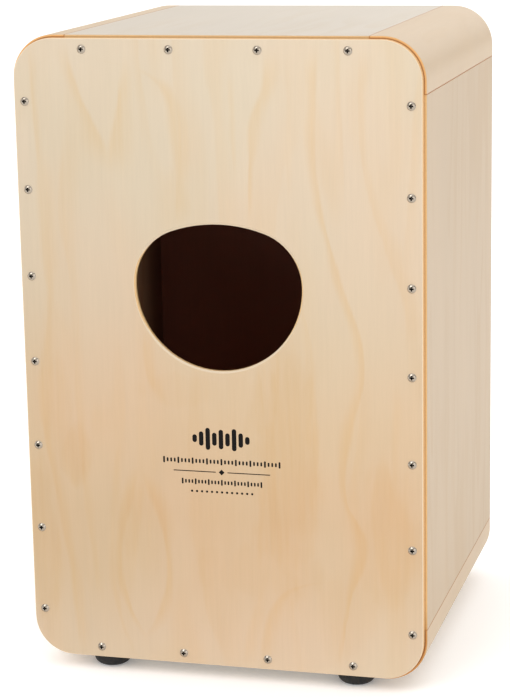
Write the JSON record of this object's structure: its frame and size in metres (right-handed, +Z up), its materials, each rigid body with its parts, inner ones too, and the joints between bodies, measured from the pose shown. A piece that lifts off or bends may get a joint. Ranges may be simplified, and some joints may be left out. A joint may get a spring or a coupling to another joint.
{
  "type": "cajon",
  "caption": "Plywood box drum with moulded round corners, a sound hole in the rear panel, rubber feet, and a snare bar inside that swings and slides out.",
  "frame": {"origin": "on the floor, at the middle of the box's footprint: bottom centre of the bounding box", "axes": "+Z up; +Y to the front, where the playing surface is; the rear panel with the sound hole faces -Y; +X to the player's right"},
  "size_m": [0.31, 0.3028, 0.489],
  "materials": {
    "body_panel": "satin lacquered birch plywood",
    "corner": "satin lacquered moulded birch plywood",
    "spline": "bare birch plywood",
    "rear_panel": "satin lacquered birch veneer",
    "playing_panel": "satin lacquered birch veneer",
    "screw": "nickel plated",
    "foot": "matt black",
    "steel": "zinc plated",
    "holder": "black moulded",
    "bush": "matt dark grey",
    "bar": "beech, oiled",
    "snare_wire": "bright spring steel"
  },
  "bodies": {
    "root": {"top_panel": "body_panel", "bottom_panel": "body_panel", "left_panel": "body_panel", "right_panel": "body_panel", "corner_top_left": "corner", "corner_top_right": "corner", "corner_bottom_left": "corner", "corner_bottom_right": "corner", "corner_splines": "spline", "rear_panel": "rear_panel", "playing_panel": "playing_panel", "rear_panel_screws": "screw", "playing_panel_screws": "screw", "foot_rear_left": "foot", "foot_rear_right": "foot", "foot_front_left": "foot", "foot_front_right": "foot", "foot_washers": "steel", "foot_screws": "screw", "snare_holder_left": "holder", "snare_holder_right": "holder", "snare_holder_screws": "screw"},
    "snare_carriage": {"snare_bush_left": "bush", "snare_bush_right": "bush"},
    "snare_beam": {"snare_bar": "bar", "snare_plate_left": "steel", "snare_plate_right": "steel", "snare_plate_screws": "screw", "snare_wires_left": "snare_wire", "snare_wires_right": "snare_wire"}
  },
  "joints": [
    {"name": "snare_removal", "type": "slide", "parent": "root", "child": "snare_carriage", "axis": [0, -1, 0], "range_m": [0, 0.04]},
    {"name": "snare_swing", "type": "hinge", "parent": "snare_carriage", "child": "snare_beam", "pos_m": [0, 0.13, 0.354], "axis": [1, 0, 0], "range_deg": [0, 30]}
  ]
}
